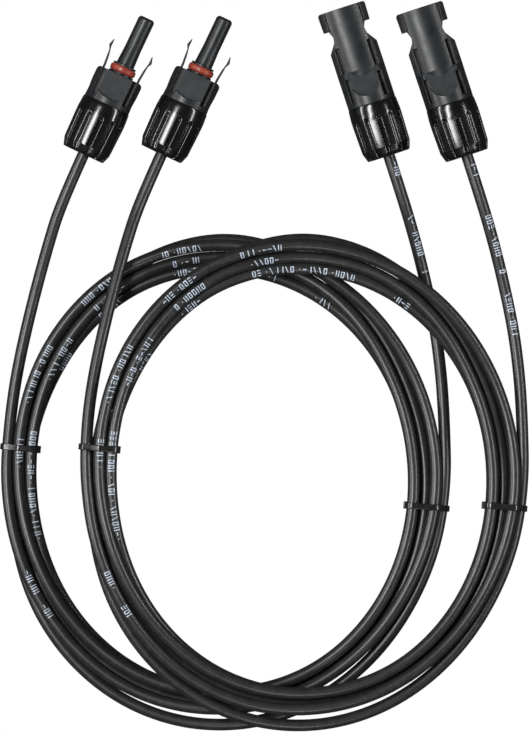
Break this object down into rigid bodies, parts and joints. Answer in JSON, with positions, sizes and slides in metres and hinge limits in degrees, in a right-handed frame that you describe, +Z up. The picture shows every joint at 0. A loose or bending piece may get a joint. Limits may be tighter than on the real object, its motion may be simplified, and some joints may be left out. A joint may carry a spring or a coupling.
{
  "type": "solar cable connector",
  "caption": "Coiled solar extension leads lying one on the other, each with a socket connector and a pin connector with union nuts, latches and sealed contacts.",
  "frame": {"origin": "on the ground, under the middle of the box around the four connectors", "axes": "+X along the row of connectors, from the socket ends to the pin ends; +Y from the coils towards the mating ends; +Z up"},
  "size_m": [0.2225, 0.306, 0.0328],
  "materials": {
    "housing_plastic": "satin",
    "nut_plastic": "gloss",
    "cage_plastic": "satin",
    "seal_rubber": "satin",
    "gland_rubber": "matte",
    "contact_metal": "satin",
    "louvre_metal": "polished",
    "copper_strands": "satin",
    "cable_jacket": "satin",
    "tie_nylon": "gloss"
  },
  "bodies": {
    "lower_lead": {"lower_socket_housing": "housing_plastic", "lower_probe_seal": "seal_rubber", "lower_socket_contact": "contact_metal", "lower_contact_louvre": "louvre_metal", "lower_pin_housing": "housing_plastic", "lower_pin_contact": "contact_metal", "lower_socket_gland_seal": "gland_rubber", "lower_socket_conductor": "copper_strands", "lower_pin_gland_seal": "gland_rubber", "lower_pin_conductor": "copper_strands", "lower_socket_end_cable": "cable_jacket", "lower_pin_end_cable": "cable_jacket", "lower_cable_coil": "cable_jacket", "lower_left_tie": "tie_nylon", "lower_right_tie": "tie_nylon"},
    "lower_socket_cage_body": {"lower_socket_clamping_cage": "cage_plastic"},
    "lower_socket_nut_body": {"lower_socket_cap_nut": "nut_plastic"},
    "lower_pin_cage_body": {"lower_pin_clamping_cage": "cage_plastic"},
    "lower_pin_nut_body": {"lower_pin_cap_nut": "nut_plastic"},
    "lower_right_latch_body": {"lower_right_latch": "housing_plastic"},
    "lower_left_latch_body": {"lower_left_latch": "housing_plastic"},
    "upper_lead": {"upper_socket_housing": "housing_plastic", "upper_probe_seal": "seal_rubber", "upper_socket_contact": "contact_metal", "upper_contact_louvre": "louvre_metal", "upper_pin_housing": "housing_plastic", "upper_pin_contact": "contact_metal", "upper_socket_gland_seal": "gland_rubber", "upper_socket_conductor": "copper_strands", "upper_pin_gland_seal": "gland_rubber", "upper_pin_conductor": "copper_strands", "upper_socket_end_cable": "cable_jacket", "upper_pin_end_cable": "cable_jacket", "upper_cable_coil": "cable_jacket", "upper_left_tie": "tie_nylon", "upper_right_tie": "tie_nylon"},
    "upper_socket_cage_body": {"upper_socket_clamping_cage": "cage_plastic"},
    "upper_socket_nut_body": {"upper_socket_cap_nut": "nut_plastic"},
    "upper_pin_cage_body": {"upper_pin_clamping_cage": "cage_plastic"},
    "upper_pin_nut_body": {"upper_pin_cap_nut": "nut_plastic"},
    "upper_right_latch_body": {"upper_right_latch": "housing_plastic"},
    "upper_left_latch_body": {"upper_left_latch": "housing_plastic"}
  },
  "joints": [
    {"name": "lower_socket_cage_slide", "type": "slide", "parent": "lower_lead", "child": "lower_socket_cage_body", "axis": [-0.4274, -0.9041, 0], "range_m": [0, 0.0061]},
    {"name": "lower_socket_nut_turn", "type": "hinge", "parent": "lower_socket_cage_body", "child": "lower_socket_nut_body", "pos_m": [-0.076, -0.02025, 0.01075], "axis": [-0.4274, -0.9041, 0], "range_deg": [0, 1440]},
    {"name": "lower_pin_cage_slide", "type": "slide", "parent": "lower_lead", "child": "lower_pin_cage_body", "axis": [0.3107, -0.9505, 0], "range_m": [0, 0.0061]},
    {"name": "lower_pin_nut_turn", "type": "hinge", "parent": "lower_pin_cage_body", "child": "lower_pin_nut_body", "pos_m": [0.04408, -0.02034, 0.01075], "axis": [0.3107, -0.9505, 0], "range_deg": [0, 1440]},
    {"name": "lower_right_latch_flex", "type": "hinge", "parent": "lower_lead", "child": "lower_right_latch_body", "pos_m": [-0.05851, -0.00175, 0.01075], "axis": [0, 0, 1], "range_deg": [0, 8], "stiffness_Nm_per_rad": 0.05},
    {"name": "lower_left_latch_flex", "type": "hinge", "parent": "lower_lead", "child": "lower_left_latch_body", "pos_m": [-0.0728, 0.005, 0.01075], "axis": [0, 0, -1], "range_deg": [0, 8], "stiffness_Nm_per_rad": 0.05},
    {"name": "upper_socket_cage_slide", "type": "slide", "parent": "upper_lead", "child": "upper_socket_cage_body", "axis": [-0.4274, -0.9041, 0], "range_m": [0, 0.0061]},
    {"name": "upper_socket_nut_turn", "type": "hinge", "parent": "upper_socket_cage_body", "child": "upper_socket_nut_body", "pos_m": [-0.0433, -0.02025, 0.01075], "axis": [-0.4274, -0.9041, 0], "range_deg": [0, 1440]},
    {"name": "upper_pin_cage_slide", "type": "slide", "parent": "upper_lead", "child": "upper_pin_cage_body", "axis": [0.3107, -0.9505, 0], "range_m": [0, 0.0061]},
    {"name": "upper_pin_nut_turn", "type": "hinge", "parent": "upper_pin_cage_body", "child": "upper_pin_nut_body", "pos_m": [0.07678, -0.02034, 0.01075], "axis": [0.3107, -0.9505, 0], "range_deg": [0, 1440]},
    {"name": "upper_right_latch_flex", "type": "hinge", "parent": "upper_lead", "child": "upper_right_latch_body", "pos_m": [-0.02582, -0.00175, 0.01075], "axis": [0, 0, 1], "range_deg": [0, 8], "stiffness_Nm_per_rad": 0.05},
    {"name": "upper_left_latch_flex", "type": "hinge", "parent": "upper_lead", "child": "upper_left_latch_body", "pos_m": [-0.0401, 0.005, 0.01075], "axis": [0, 0, -1], "range_deg": [0, 8], "stiffness_Nm_per_rad": 0.05},
    {"name": "upper_lead_lift", "type": "slide", "parent": "lower_lead", "child": "upper_lead", "axis": [0, 0, 1], "range_m": [0, 0.06]}
  ],
  "couplings": [
    {"joint": "lower_socket_cage_slide", "follows": "lower_socket_nut_turn", "m_per_rad": 0.00023873},
    {"joint": "lower_pin_cage_slide", "follows": "lower_pin_nut_turn", "m_per_rad": 0.00023873},
    {"joint": "upper_socket_cage_slide", "follows": "upper_socket_nut_turn", "m_per_rad": 0.00023873},
    {"joint": "upper_pin_cage_slide", "follows": "upper_pin_nut_turn", "m_per_rad": 0.00023873}
  ]
}
